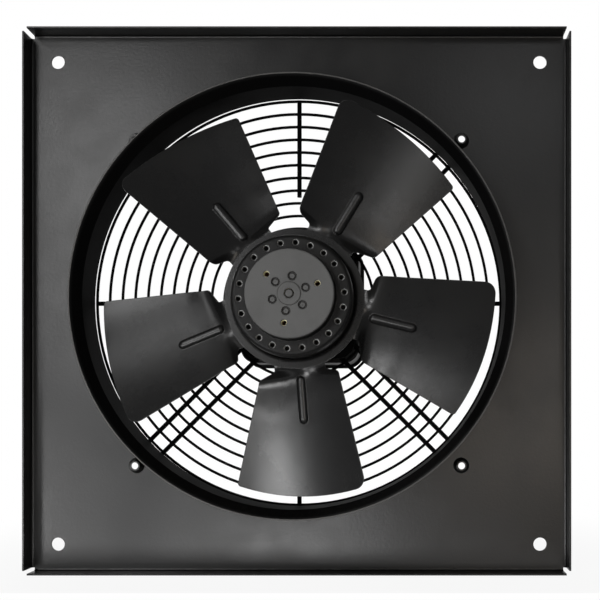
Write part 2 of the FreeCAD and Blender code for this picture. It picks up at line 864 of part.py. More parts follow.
def make_rotor_rivets():
    """Rivets sunk in wells of the rotor's face, each with a small dish in its head."""
    disc_rear = face_rear - dim("hub_disc_sheet")
    seat = dim("face_height") - dim("well_depth")
    top = dim("face_height") - dim("rivet_sink")
    rivets = []
    for index in range(int(dim("rivet_count").number)):
        angle = dim("rivet_angle") + share_of_turn(index, dim("rivet_count"))
        x = dim("rivet_circle") * cosine(angle)
        y = dim("rivet_circle") * sine(angle)
        stem = cylinder("rivet_stem", dim("rivet_shank"), seat - disc_rear, x, y, disc_rear)
        head = cone("rivet_head", dim("rivet_head"), dim("rivet_top"), top - seat, x, y, seat)
        dish_low = top - dim("rivet_dish_depth")
        dish = cone("rivet_dish", 0, dim("rivet_dish_radius"), dim("rivet_dish_depth"), x, y, dish_low)
        rivets.append(cut("rivet", gather("Part::MultiFuse", "rivet_blank", [stem, head]), dish))
    facing_front(keep(gather("Part::Compound", "rotor_rivets", rivets), "rotor_rivets"))


def make_shaft():
    radius = dim("shaft_radius")
    groove = radius - dim("groove_depth")
    tail = rear_bearing_low - dim("shaft_tail")
    clip_low = rear_bearing_low - dim("clip_sheet")
    tip = dim("face_height") + dim("shaft_proud")
    nose = dim("nose_radius")
    step = tip - dim("nose_length")
    bevel = dim("nose_chamfer")
    turned("shaft", [
        (0, tail), (radius, tail), (radius, clip_low), (groove, clip_low), (groove, rear_bearing_low),
        (radius, rear_bearing_low), (radius, step), (nose, step), (nose, tip - bevel), (nose - bevel, tip),
        (0, tip),
    ])


def make_retaining_ring():
    low = rear_bearing_low - dim("clip_sheet")
    body = ring("retaining_ring", dim("shaft_radius") - dim("groove_depth"), dim("clip_radius"), low,
                rear_bearing_low)
    gap = new_sketch(body, "gap", "XY_Plane")
    half = dim("clip_gap") / 2
    past = dim("clip_radius") * 2
    draw_outline(gap, [(0, -half), (past, -half), (past, half), (0, half)])
    pocket(body, gap)


def make_bearing(place_name, low, high):
    ring(f"bearing_{place_name}_outer", dim("race_outer"), dim("bearing_radius"), low, high)
    ring(f"bearing_{place_name}_inner", dim("shaft_radius"), dim("race_inner"), low, high)
    pitch = dim("race_inner") + dim("ball_radius")
    balls = []
    for index in range(int(dim("ball_count").number)):
        angle = share_of_turn(index, dim("ball_count"))
        ball = doc.addObject("Part::Sphere", f"ball_{place_name}")
        bind(ball, "Radius", dim("ball_radius"))
        place(ball, pitch * cosine(angle), pitch * sine(angle), (low + high) / 2)
        balls.append(ball)
    label = f"bearing_{place_name}_balls"
    facing_front(keep(gather("Part::Compound", label, balls), label))


def blade_sheet_solid():
    """The twisted sheet that one blade is cut from, lying along X, with its own thickness along Z."""
    slope = math.tan(math.radians(dim("blade_pitch").number))
    camber = dim("camber_rise").number / dim("lead_tip_offset").number ** 2
    sink = dim("blade_sink").number
    start = dim("hub_ring_radius").number - dim("twist_lap").number
    end = start + dim("twist_length").number
    middle = dim("hub_ring_front").number - dim("impeller_sheet").number / 2
    thick = dim("blade_sheet").number
    inner = dim("hub_ring_radius").number - BLANK_MARGIN
    outer = dim("tip_radius").number + BLANK_MARGIN

    def height(reach, offset):
        ramp = min(max((reach - start) / (end - start), 0.0), 1.0)
        ease = ramp * ramp * (3 - 2 * ramp)
        return middle - thick / 2 + ease * (slope * offset + camber * offset ** 2 - sink)

    twist_rows = 6
    span_rows = 8
    reaches = [inner, (inner + start) / 2]
    reaches += [start + (end - start) * index / twist_rows for index in range(twist_rows + 1)]
    reaches += [end + (outer - end) * index / span_rows for index in range(1, span_rows + 1)]
    low = -dim("lead_tip_offset").number - BLANK_MARGIN
    high = dim("trail_tip_offset").number + BLANK_MARGIN
    columns = 10
    offsets = [low + (high - low) * index / columns for index in range(columns + 1)]
    surface = Part.BSplineSurface()
    surface.interpolate([[Vector(reach, offset, height(reach, offset)) for offset in offsets]
                         for reach in reaches])
    return surface.toShape().extrude(Vector(0, 0, thick))


def upright_edges(shape, corners):
    """Edges along Z at the given places."""
    found = []
    for edge in shape.Edges:
        ends = [vertex.Point for vertex in edge.Vertexes]
        if len(ends) == 2 and math.hypot(ends[0].x - ends[1].x, ends[0].y - ends[1].y) < NEAR:
            if any(math.hypot(ends[0].x - x, ends[0].y - y) < NEAR for x, y in corners):
                found.append(edge)
    return found


def blade_outline_prism():
    """Upright prism with the blade's outline seen along the fan axis."""
    tip = dim("tip_radius").number
    edge = dim("hub_ring_radius").number
    inner = edge - dim("root_lap").number
    neck = dim("neck_half").number
    notch = edge + dim("notch_margin").number
    lead_root = (edge + dim("lead_root_margin").number, -dim("lead_root_offset").number)
    lead_tip = (tip - dim("lead_tip_inset").number, -dim("lead_tip_offset").number)
    trail_root = (edge + dim("trail_root_margin").number, dim("trail_root_offset").number)
    trail_tip = (tip - dim("trail_tip_inset").number, dim("trail_tip_offset").number)

    def on_tip_circle(start, through):
        """Where the straight edge from start through a point meets the tip circle."""
        step = Vector(through[0] - start[0], through[1] - start[1], 0).normalize()
        along = start[0] * step.x + start[1] * step.y
        across = start[0] ** 2 + start[1] ** 2 - tip ** 2
        run = -along + math.sqrt(along ** 2 - across)
        return (start[0] + step.x * run, start[1] + step.y * run)

    lead_end = on_tip_circle(lead_root, lead_tip)
    trail_end = on_tip_circle(trail_root, trail_tip)
    corners = [trail_end, trail_root, (notch, neck), (inner, neck), (inner, -neck), (notch, -neck),
               lead_root, lead_end]
    points = [Vector(x, y, 0) for x, y in corners]
    edges = [Part.LineSegment(a, b).toShape() for a, b in zip(points, points[1:])]
    edges.append(Part.Arc(points[-1], Vector(tip, 0, 0), points[0]).toShape())
    solid = Part.Face(Part.Wire(edges)).extrude(Vector(0, 0, THROUGH))
    solid.translate(Vector(0, 0, -THROUGH / 4))
    rounding = [
        ("notch_round", [(notch, neck), (notch, -neck)]),
        ("root_round", [trail_root, lead_root]),
        ("lead_tip_round", [lead_end]),
        ("trail_tip_round", [trail_end]),
    ]
    for alias, places in rounding:
        solid = solid.makeFillet(dim(alias).number, upright_edges(solid, places))
    return solid


def capsule(radius, start, end):
    """Round-ended rod along X, turned from a half outline on its rear side."""
    slope = radius * math.cos(math.radians(DIAGONAL))
    outline = [Vector(start - radius, 0, 0), Vector(start, 0, -radius), Vector(end, 0, -radius),
               Vector(end + radius, 0, 0)]
    edges = [
        Part.Arc(outline[0], Vector(start - slope, 0, -slope), outline[1]).toShape(),
        Part.makeLine(outline[1], outline[2]),
        Part.Arc(outline[2], Vector(end + slope, 0, -slope), outline[3]).toShape(),
        Part.makeLine(outline[3], outline[0]),
    ]
    return Part.Face(Part.Wire(edges)).revolve(Vector(), Vector(1, 0, 0), DEGREES_ROUND)


def bead_solids():
    """Outer rod of the pressed bead, cut off inside the sheet, and the hollow behind it."""
    radius = dim("bead_radius").number
    thick = dim("blade_sheet").number
    start = dim("hub_ring_radius").number + dim("bead_margin").number + radius
    end = start + dim("bead_length").number - 2 * radius
    outer = capsule(radius, start, end)
    inner = capsule(radius - thick, start, end)
    low = thick / 2 - dim("bead_lift").number
    above = Part.makeBox(THROUGH, THROUGH, THROUGH, Vector(start - 2 * radius, -THROUGH / 2, low))
    outer = outer.common(above)
    ring_middle = dim("hub_ring_front").number - dim("impeller_sheet").number / 2
    axis = ring_middle - thick / 2 - dim("blade_sink").number + dim("bead_lift").number
    seat = Placement(Vector(0, 0, axis), Rotation(Vector(1, 0, 0), dim("blade_pitch").number))
    for solid in (outer, inner):
        solid.Placement = seat.multiply(solid.Placement)
    return outer, inner


def hub_ring_solid():
    """Collar that grips the rotor and turns out into the flat ring of the blades."""
    wall = dim("impeller_sheet").number
    grip = dim("rotor_radius").number
    rear = dim("collar_rear").number
    front = dim("hub_ring_front").number
    edge = dim("hub_ring_radius").number
    bend = min(dim("collar_bend").number, edge - grip - dim("collar_margin").number)
    spread = math.cos(math.radians(DIAGONAL))

    def at(radius, height):
        return Vector(radius, 0, height)

    def arc(radius, start, end):
        middle = at(grip + bend - radius * spread, front - bend + radius * spread)
        return Part.Arc(start, middle, end).toShape()

    inner_start, inner_end = at(grip, front - bend), at(grip + bend, front)
    outer_start, outer_end = at(grip + wall, front - bend), at(grip + bend, front - wall)
    path = Part.Wire([
        Part.makeLine(at(grip, rear), inner_start), arc(bend, inner_start, inner_end),
        Part.makeLine(inner_end, at(edge, front)), Part.makeLine(at(edge, front), at(edge, front - wall)),
        Part.makeLine(at(edge, front - wall), outer_end), arc(bend - wall, outer_end, outer_start),
        Part.makeLine(outer_start, at(grip + wall, rear)),
        Part.makeLine(at(grip + wall, rear), at(grip, rear)),
    ])
    return Part.Face(path).revolve(Vector(), Vector(0, 0, 1), DEGREES_ROUND)


def make_impeller():
    """One pressing: a free-form twisted sheet, cut to outline, so it is shaped in code."""
    outer_bead, inner_bead = bead_solids()
    blade = blade_sheet_solid().common(blade_outline_prism())
    blade = blade.fuse(outer_bead).cut(inner_bead)
    count = int(dim("blade_count").number)
    blades = []
    for index in range(count):
        copy = blade.copy()
        copy.rotate(Vector(), Vector(0, 0, 1), dim("blade_angle").number + DEGREES_ROUND / count * index)
        blades.append(copy)
    item = doc.addObject("Part::Feature", "impeller")
    item.Shape = hub_ring_solid().multiFuse(blades)
    facing_front(keep(item, "impeller"))


make_wall_plate()
make_guard_rings()
make_guard_spokes()
make_guard_legs()
make_motor_carrier()
make_motor_flange()
make_screws()
make_terminal_box()
make_terminal_lid()
make_cable_grommet()
make_bearing_tube()
make_stator()
make_bearing("rear", rear_bearing_low, rear_bearing_high)
make_bearing("front", front_bearing_low, front_bearing_high)
make_shaft()
make_retaining_ring()
ring("preload_spring", dim("shaft_radius"), dim("spring_radius"), front_bearing_high, hub_rear)
make_shaft_hub()
make_rotor_rivets()
make_rotor_cup()
make_rotor_core()
make_impeller()
doc.recompute()

for item in doc.Objects:
    if "Invalid" in item.State or "Error" in item.State:
        raise RuntimeError(f"{item.Label} failed to rebuild: {item.State}")
os.makedirs("parts", exist_ok=True)
for item in nodes:
    shape = item.Shape
    if shape.isNull() or not shape.isValid() or not shape.Solids:
        raise RuntimeError(f"{item.Label} has no valid solid")
    shape.exportStep(f"parts/{item.Label}.step")
    print(f"{item.Label}: {len(shape.Solids)} solid, {shape.Volume / 1000:.2f} cm3")
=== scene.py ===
import math

import bpy
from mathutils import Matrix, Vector


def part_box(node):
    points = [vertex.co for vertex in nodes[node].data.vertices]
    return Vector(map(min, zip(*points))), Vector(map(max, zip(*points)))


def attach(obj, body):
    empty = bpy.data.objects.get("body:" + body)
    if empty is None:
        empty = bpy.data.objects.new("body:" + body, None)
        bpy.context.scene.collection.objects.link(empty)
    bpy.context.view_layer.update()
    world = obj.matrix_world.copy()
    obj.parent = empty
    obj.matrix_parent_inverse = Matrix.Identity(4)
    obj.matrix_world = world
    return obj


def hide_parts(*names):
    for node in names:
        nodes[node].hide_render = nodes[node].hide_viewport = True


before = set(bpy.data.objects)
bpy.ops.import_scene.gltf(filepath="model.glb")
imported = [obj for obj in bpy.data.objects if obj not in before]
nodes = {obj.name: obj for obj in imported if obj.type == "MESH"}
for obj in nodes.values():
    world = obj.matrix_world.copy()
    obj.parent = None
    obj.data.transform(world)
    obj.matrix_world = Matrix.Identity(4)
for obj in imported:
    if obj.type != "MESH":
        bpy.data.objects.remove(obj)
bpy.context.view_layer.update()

MM = 0.001
NEAR = 0.01 * MM

# Camera, read from how the fan's circles shift and grow with their height. The scale is millimetres of the
# plate's front to a pixel, and the sight is the pixel that the camera looks straight at.
PICTURE = 600
SENSOR = 36.0
CAMERA_PLACE = Vector((94.3, -740.0, -95.0)) * MM
CAMERA_CLIP = 10.0 * MM
PLATE_SCALE = 0.9025
SIGHT_COLUMN = 403.0
SIGHT_ROW = 408.0

# Places on the fan that the finishes and the added pieces share, taken from the frame.
plate_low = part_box("wall_plate")[0]
ring_low, ring_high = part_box("guard_ring_01")
ring_wire = (ring_high.y - ring_low.y) / 2
lip_front = plate_low.y
floor_height = plate_low.z
face_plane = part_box("rotor_cup")[0].y

RINGS = [f"guard_ring_{index:02d}" for index in range(1, 12)]
SPOKES = [f"guard_spoke_{index}" for index in range(1, 5)]
LEGS = [f"guard_leg_{index}" for index in range(1, 5)]


# Shader node helpers

def add(tree, kind, **settings):
    """A new node with its settings."""
    node = tree.nodes.new(kind)
    for name, value in settings.items():
        setattr(node, name, value)
    return node


def feed(tree, value, target):
    """Gives an input its value: another node's output, a number, a vector or a colour."""
    if isinstance(value, bpy.types.NodeSocket):
        tree.links.new(value, target)
    elif target.type == "RGBA":
        target.default_value = (*value, 1.0)
    else:
        target.default_value = value


def math_node(tree, operation, first, second=None):
    """A maths step; each side is an output or a number."""
    node = add(tree, "ShaderNodeMath", operation=operation)
    feed(tree, first, node.inputs[0])
    if second is not None:
        feed(tree, second, node.inputs[1])
    return node.outputs[0]


def ramp_between(tree, value, low, high, out_low=0.0, out_high=1.0):
    """Spreads a value's range over another range, with soft ends."""
    node = add(tree, "ShaderNodeMapRange", interpolation_type="SMOOTHSTEP")
    feed(tree, value, node.inputs["Value"])
    feed(tree, low, node.inputs["From Min"])
    feed(tree, high, node.inputs["From Max"])
    feed(tree, out_low, node.inputs["To Min"])
    feed(tree, out_high, node.inputs["To Max"])
    return node.outputs["Result"]


def blend(tree, mask, below, above):
    """A number that goes from one value to another with a mask, with soft ends."""
    return ramp_between(tree, mask, 0.0, 1.0, below, above)


def mix_colours(tree, mask, below, above):
    """Lays one colour over another by a mask; each is an output or a colour."""
    node = add(tree, "ShaderNodeMix", data_type="RGBA")
    colours = {socket.name: socket for socket in node.inputs if socket.type == "RGBA"}
    feed(tree, mask, node.inputs["Factor"])
    feed(tree, below, colours["A"])
    feed(tree, above, colours["B"])
    return next(socket for socket in node.outputs if socket.type == "RGBA")


def lay_over(tree, tone, mask, share, colour):
    """Lays a share of a colour over a tone where the mask is."""
    return mix_colours(tree, math_node(tree, "MULTIPLY", mask, share), tone, colour)


def noise(tree, place, scale, detail=2.0, roughness=0.5):
    node = add(tree, "ShaderNodeTexNoise")
    feed(tree, place, node.inputs["Vector"])
    feed(tree, scale, node.inputs["Scale"])
    feed(tree, detail, node.inputs["Detail"])
    feed(tree, roughness, node.inputs["Roughness"])
    return node.outputs["Fac"]


def bump(tree, height, strength, depth, normal=None):
    node = add(tree, "ShaderNodeBump")
    feed(tree, strength, node.inputs["Strength"])
    feed(tree, depth, node.inputs["Distance"])
    feed(tree, height, node.inputs["Height"])
    if normal is not None:
        feed(tree, normal, node.inputs["Normal"])
    return node.outputs["Normal"]


def object_place(tree):
    return add(tree, "ShaderNodeTexCoord").outputs["Object"]


def place_along(tree, axis):
    """How far the shaded point lies along an axis."""
    split = add(tree, "ShaderNodeSeparateXYZ")
    feed(tree, object_place(tree), split.inputs[0])
    return split.outputs[axis]


def length(tree, vector):
    node = add(tree, "ShaderNodeVectorMath", operation="LENGTH")
    feed(tree, vector, node.inputs[0])
    return node.outputs["Value"]


def axis_reach(tree):
    """Distance of the shaded point from the fan axis."""
    across = add(tree, "ShaderNodeCombineXYZ")
    for axis in "XZ":
        feed(tree, place_along(tree, axis), across.inputs[axis])
    return length(tree, across.outputs[0])


def new_group(name, inputs, outputs):
    group = bpy.data.node_groups.new(name, "ShaderNodeTree")
    for label, default in inputs:
        socket = group.interface.new_socket(label, in_out="INPUT", socket_type="NodeSocketFloat")
        socket.default_value = default
    for label, kind in outputs:
        group.interface.new_socket(label, in_out="OUTPUT", socket_type=kind)
    return group, add(group, "NodeGroupInput"), add(group, "NodeGroupOutput")


def use(tree, group, **values):
    """A shared effect in a finish, with some of its inputs set; underscores stand for spaces."""
    node = add(tree, "ShaderNodeGroup", node_tree=group)
    for name, value in values.items():
        feed(tree, value, node.inputs[name.replace("_", " ")])
    return node.outputs


def new_finish(name):
    """A new material, its node tree and its shader."""
    material = bpy.data.materials.new(name)
    material.use_nodes = True
    tree = material.node_tree
    return material, tree, tree.nodes["Principled BSDF"]


def set_looks(tree, shader, **looks):
    """Gives the shader's inputs their values; underscores stand for spaces."""
    for name, value in looks.items():
        feed(tree, value, shader.inputs[name.replace("_", " ")])


# Effects that several finishes share. Each range is where a mask starts and where it is full.

SMEAR_RANGE = (0.36, 0.70)
SPECK_RANGE = (0.42, 0.75)
UPWARD_RANGE = (0.15, 0.95)
EDGE_RANGE = (0.97, 0.80)
BREAKUP_RANGE = (0.40, 0.68)
WELL_SHADE_RANGE = (0.94, 0.55)


def make_coat_grain():
    """Orange peel of a sprayed or dipped coat, with a finer grain in it."""
    group, entry, exit_ = new_group(
        "coat_grain",
        [("Peel Scale", 420.0), ("Grain Scale", 2600.0), ("Grain Share", 0.25)],
        [("Height", "NodeSocketFloat"), ("Tone", "NodeSocketFloat")])
    place = object_place(group)
    peel = noise(group, place, entry.outputs["Peel Scale"])
    grain = noise(group, place, entry.outputs["Grain Scale"], detail=3.0)
    share = math_node(group, "MULTIPLY", grain, entry.outputs["Grain Share"])
    feed(group, math_node(group, "ADD", peel, share), exit_.inputs["Height"])
    feed(group, grain, exit_.inputs["Tone"])
    return group


def make_handling():
    """Broad smears left by handling, and dust on what faces up."""
    group, entry, exit_ = new_group(
        "handling",
        [("Smear Scale", 9.0), ("Dust Scale", 320.0)],
        [("Smear", "NodeSocketFloat"), ("Dust", "NodeSocketFloat")])
    source = add(group, "ShaderNodeTexCoord")
    broad = noise(group, source.outputs["Object"], entry.outputs["Smear Scale"], detail=5.0, roughness=0.62)
    feed(group, ramp_between(group, broad, *SMEAR_RANGE), exit_.inputs["Smear"])
    specks = noise(group, source.outputs["Object"], entry.outputs["Dust Scale"], detail=4.0, roughness=0.7)
    facing = add(group, "ShaderNodeSeparateXYZ")
    feed(group, source.outputs["Normal"], facing.inputs[0])
    upward = ramp_between(group, facing.outputs["Z"], *UPWARD_RANGE)
    settled = math_node(group, "MULTIPLY", ramp_between(group, specks, *SPECK_RANGE), upward)
    feed(group, settled, exit_.inputs["Dust"])
    return group


def make_edge_rub_highlight():
    """Mask of the edges that get rubbed and lightened, partly as painted highlight, broken up, and the
    rounded normal there.
    """
    group, entry, exit_ = new_group(
        "edge_rub_highlight",
        [("Width", 0.8 * MM), ("Breakup Scale", 240.0)],
        [("Edge", "NodeSocketFloat"), ("Rounded", "NodeSocketVector")])
    rounded = add(group, "ShaderNodeBevel", samples=6)
    feed(group, entry.outputs["Width"], rounded.inputs["Radius"])
    flat = add(group, "ShaderNodeNewGeometry")
    match = add(group, "ShaderNodeVectorMath", operation="DOT_PRODUCT")
    feed(group, rounded.outputs["Normal"], match.inputs[0])
    feed(group, flat.outputs["Normal"], match.inputs[1])
    edge = ramp_between(group, match.outputs["Value"], *EDGE_RANGE)
    patches = noise(group, object_place(group), entry.outputs["Breakup Scale"], detail=4.0)
    breakup = ramp_between(group, patches, *BREAKUP_RANGE)
    feed(group, math_node(group, "MULTIPLY", edge, breakup), exit_.inputs["Edge"])
    feed(group, rounded.outputs["Normal"], exit_.inputs["Rounded"])
    return group


def make_corner_shade():
    """Mask of the narrow gaps and wells, where painted shade goes."""
    group, entry, exit_ = new_group("corner_shade", [("Reach", 2.0 * MM)], [("Shade", "NodeSocketFloat")])
    gap = add(group, "ShaderNodeAmbientOcclusion", samples=8)
    feed(group, entry.outputs["Reach"], gap.inputs["Distance"])
    feed(group, ramp_between(group, gap.outputs["AO"], *WELL_SHADE_RANGE), exit_.inputs["Shade"])
    return group


coat_grain = make_coat_grain()
handling = make_handling()
edge_rub_highlight = make_edge_rub_highlight()
corner_shade = make_corner_shade()


# Colours of the finishes. Where there are two, smears carry the second.

DUST = (0.21, 0.19, 0.16)
# painted shade for the wells and gaps round the rivets and the shaft
WELL_SHADE = (0.012, 0.011, 0.010)
# worn edges, lightened partly as a painted highlight
BLACK_RUB_AND_HIGHLIGHT = (0.085, 0.083, 0.080)
# painted shade for the coat near the fan axis
SHADE_BLACK = (0.0008, 0.0008, 0.0009)
FACE_SPECKLE = (0.15, 0.148, 0.144)
# worn edges of the grey face, lightened partly as a painted highlight
FACE_RUB_AND_HIGHLIGHT = (0.17, 0.168, 0.165)
SHEET_SEAM = (0.02, 0.02, 0.022)
COPPER_GAP = (0.10, 0.035, 0.015)
BLACK_COAT = ((0.0032, 0.0032, 0.0033), (0.0056, 0.0054, 0.0050))
BLADE_BLACK = ((0.0055, 0.0055, 0.0057), (0.0085, 0.0083, 0.0080))
FACE_GREY = ((0.078, 0.078, 0.077), (0.063, 0.063, 0.062))
STEEL = ((0.56, 0.56, 0.57), (0.36, 0.36, 0.37))
VENT_STEEL = ((0.15, 0.15, 0.147), (0.11, 0.11, 0.108))
ZINC = ((0.82, 0.76, 0.47), (0.76, 0.66, 0.46))
CAST_SKIN = ((0.60, 0.61, 0.62), (0.47, 0.48, 0.49))
# painted shade for the cage rings inside the rotor
SHADED_CAST_SKIN = ((0.024, 0.023, 0.022), (0.018, 0.017, 0.016))
SHEET_STEEL = ((0.20, 0.20, 0.22), (0.13, 0.13, 0.15))
COPPER = ((0.50, 0.20, 0.09), (0.36, 0.14, 0.07))
INSULATION = ((0.72, 0.70, 0.62), (0.62, 0.59, 0.50))
BOX_BLACK = ((0.0055, 0.0055, 0.0060), (0.0080, 0.0080, 0.0080))
RUBBER = ((0.018, 0.018, 0.018), (0.028, 0.027, 0.026))

# How much of a layer shows
DUST_SHARE = 0.05
SHADE_SHARE = 0.7
RUB_HIGHLIGHT_SHARE = 0.75
FACE_RUB_HIGHLIGHT_SHARE = 0.5
SPECKLE_SHARE = 0.35

# How strongly a coat mirrors, and how much rougher it is where it is dulled near the fan axis
FULL_SHEEN = 0.50
DULL_SHEEN = 0.08
WELL_SHEEN = 0.18
BOX_SHEEN = 0.18
COAT_IOR = 1.45
DULL_IOR = 1.28
DULL_ROUGHNESS = 0.36
GRAIN_ROUGHNESS = 0.05

# Roughness of a finish that comes in one kind only: its smoother and its rougher places
FRONT_ROUGHNESS = (0.40, 0.68)
CAST_ROUGHNESS = (0.42, 0.62)
SHEET_ROUGHNESS = (0.38, 0.55)
COPPER_ROUGHNESS = (0.28, 0.45)

# Distances from the fan axis at which a finish changes, and the size of the painted highlight on the lip's
# edge
NOZZLE_REACH = 188.0 * MM
GUARD_REACH = 300.0 * MM
VENT_REACH = 50.5 * MM
RIVET_REACH = 30.0 * MM
REACH_BLEND = 1.5 * MM
LIP_REACH = 188.8 * MM
LIP_BLEND = 0.3 * MM
LIP_DEPTH = 1.2 * MM

# Spray on the rotor's front: how it fades at its edge, and how ragged that is
SPRAY_BEHIND = 0.9 * MM
SPRAY_AHEAD = 0.3 * MM
SPRAY_RAG = 0.6 * MM
SPRAY_RAG_SCALE = 900.0
SPECKLE_RANGE = (0.52, 0.75)

# Bare metal: the spread of a noise, the lines that a tool leaves, and the sheets and turns of core and coil
TONE_RANGE = (0.2, 0.8)
LINE_STRETCH = (1.0, 14.0, 1.0)
SEAM_RANGE = (-1.0, -0.6)
TURN_RANGE = (-1.0, 0.6)
SHEET_PITCH = 0.5 * MM
COIL_PITCH = 0.7 * MM


def lip_highlight(tree):
    """Mask of the cut edge of the nozzle lip, which stands out farthest; a light line is painted there as a
    highlight.
    """
    front = ramp_between(tree, place_along(tree, "Y"), lip_front + LIP_DEPTH, lip_front + LIP_DEPTH / 2)
    outer = ramp_between(tree, axis_reach(tree), LIP_REACH, LIP_REACH + LIP_BLEND)
    return math_node(tree, "MULTIPLY", front, outer)


def within_reach(tree, reach, share=1.0):
    """Mask of what lies nearer to the fan axis than a reach."""
    return ramp_between(tree, axis_reach(tree), reach + REACH_BLEND, reach - REACH_BLEND, 0.0, share)


def coated_steel(name, colours, gloss, dull, peel_scale, peel_depth, dull_shade_reach=0.0):
    """Painted sheet or wire: peel, smears that change the gloss, dust, rubbed edges lightened partly as
    painted highlight, and a painted highlight on the nozzle lip's edge.

    Nearer to the fan axis than the given reach the coat is dulled and darkened; the darkening is painted
    shade.
    """
    material, tree, shader = new_finish(name)
    grain = use(tree, coat_grain, Peel_Scale=peel_scale)
    touch = use(tree, handling)
    edges = use(tree, edge_rub_highlight)
    dull_shade = within_reach(tree, dull_shade_reach)
    tone = mix_colours(tree, touch["Smear"], *colours)
    tone = lay_over(tree, tone, touch["Dust"], DUST_SHARE, DUST)
    # painted shade: near the fan axis the coat is darkened, for the shaded nozzle and what lies behind it
    tone = lay_over(tree, tone, dull_shade, SHADE_SHARE, SHADE_BLACK)
    # rubbed edges, their light colour partly a painted highlight
    tone = lay_over(tree, tone, edges["Edge"], RUB_HIGHLIGHT_SHARE, BLACK_RUB_AND_HIGHLIGHT)
    # painted highlight: a light line along the lip's outer edge
    tone = mix_colours(tree, lip_highlight(tree), tone, BLACK_RUB_AND_HIGHLIGHT)
    rough = blend(tree, touch["Smear"], gloss, dull)
    rough = math_node(tree, "ADD", rough, math_node(tree, "MULTIPLY", grain["Tone"], GRAIN_ROUGHNESS))
    rough = math_node(tree, "ADD", rough, math_node(tree, "MULTIPLY", dull_shade, DULL_ROUGHNESS))
    set_looks(tree, shader, Base_Color=tone, Roughness=rough,
              IOR=blend(tree, dull_shade, COAT_IOR, DULL_IOR),
              Specular_IOR_Level=blend(tree, dull_shade, FULL_SHEEN, DULL_SHEEN),
              Normal=bump(tree, grain["Height"], strength=0.35, depth=peel_depth, normal=edges["Rounded"]))
    return material


def painted_front(name, colours, metal, face_start, shade_share, well_sheen=FULL_SHEEN):
    """Grey matt paint sprayed on the front of a piece that is otherwise another finish.

    The bare part has the sheen well_sheen as far out as the ring of vents, and full sheen beyond it. Painted
    shade darkens the wells round the rivets, and not among the vents.
    """
    material, tree, shader = new_finish(name)
    grain = use(tree, coat_grain, Peel_Scale=700.0, Grain_Scale=3400.0, Grain_Share=0.6)
    touch = use(tree, handling, Smear_Scale=26.0)
    edges = use(tree, edge_rub_highlight, Width=1.6 * MM)
    rag = noise(tree, object_place(tree), SPRAY_RAG_SCALE, detail=3.0)
    height = math_node(tree, "ADD", place_along(tree, "Y"), math_node(tree, "MULTIPLY", rag, SPRAY_RAG))
    painted = ramp_between(tree, height, face_start + SPRAY_BEHIND, face_start - SPRAY_AHEAD)
    grey = mix_colours(tree, touch["Smear"], *FACE_GREY)
    speckle = ramp_between(tree, grain["Tone"], *SPECKLE_RANGE)
    grey = lay_over(tree, grey, speckle, SPECKLE_SHARE, FACE_SPECKLE)
    tone = mix_colours(tree, painted, mix_colours(tree, touch["Smear"], *colours), grey)
    # rubbed edges, their light colour partly a painted highlight on the lit rims of the vents
    tone = lay_over(tree, tone, edges["Edge"], FACE_RUB_HIGHLIGHT_SHARE, FACE_RUB_AND_HIGHLIGHT)
    # painted shade: the wells and gaps round the rivets and the shaft are darkened where little light reaches
    gaps = use(tree, corner_shade, Reach=4.2 * MM)["Shade"]
    tone = lay_over(tree, tone, gaps, within_reach(tree, RIVET_REACH, shade_share), WELL_SHADE)
    outside = ramp_between(tree, axis_reach(tree), VENT_REACH - REACH_BLEND, VENT_REACH + REACH_BLEND)
    full = math_node(tree, "MAXIMUM", painted, outside)
    set_looks(tree, shader, Base_Color=tone,
              Roughness=blend(tree, painted, *FRONT_ROUGHNESS),
              Metallic=blend(tree, painted, metal, 0.0),
              Specular_IOR_Level=blend(tree, full, well_sheen, FULL_SHEEN),
              Normal=bump(tree, grain["Height"], strength=0.4, depth=0.25 * MM, normal=edges["Rounded"]))
    return material


def turned_metal(name, colours, gloss, dull, line_scale=900.0):
    """Bare metal with fine tool lines round the fan axis and dulled patches."""
    material, tree, shader = new_finish(name)
    touch = use(tree, handling, Smear_Scale=60.0)
    stretch = add(tree, "ShaderNodeMapping")
    feed(tree, LINE_STRETCH, stretch.inputs["Scale"])
    feed(tree, object_place(tree), stretch.inputs["Vector"])
    lines = noise(tree, stretch.outputs["Vector"], line_scale)
    set_looks(tree, shader, Base_Color=mix_colours(tree, touch["Smear"], *colours), Metallic=1.0,
              Roughness=ramp_between(tree, lines, *TONE_RANGE, gloss, dull),
              Normal=bump(tree, lines, strength=0.25, depth=0.1 * MM))
    return material


def cast_metal(name, colours):
    """Pressure cast skin, faintly mottled and pitted."""
    material, tree, shader = new_finish(name)
    grain = use(tree, coat_grain, Peel_Scale=260.0, Grain_Scale=1500.0, Grain_Share=0.9)
    touch = use(tree, handling, Smear_Scale=34.0)
    set_looks(tree, shader, Base_Color=mix_colours(tree, touch["Smear"], *colours), Metallic=1.0,
              Roughness=ramp_between(tree, grain["Tone"], *TONE_RANGE, *CAST_ROUGHNESS),
              Normal=bump(tree, grain["Height"], strength=0.5, depth=0.3 * MM))
    return material


def wave_along(tree, distance, pitch):
    """A wave that repeats each pitch of a distance."""
    return math_node(tree, "SINE", math_node(tree, "MULTIPLY", distance, math.tau / pitch))


def stacked_sheet(name, colours, pitch):
    """Edges of the thin sheets that a core is stacked from."""
    material, tree, shader = new_finish(name)
    sheet = ramp_between(tree, wave_along(tree, place_along(tree, "Y"), pitch), *SEAM_RANGE)
    touch = use(tree, handling, Smear_Scale=70.0)
    tone = mix_colours(tree, touch["Smear"], *colours)
    set_looks(tree, shader, Base_Color=mix_colours(tree, sheet, SHEET_SEAM, tone), Metallic=0.8,
              Roughness=blend(tree, touch["Smear"], *SHEET_ROUGHNESS),
              Normal=bump(tree, sheet, strength=0.6, depth=0.1 * MM))
    return material


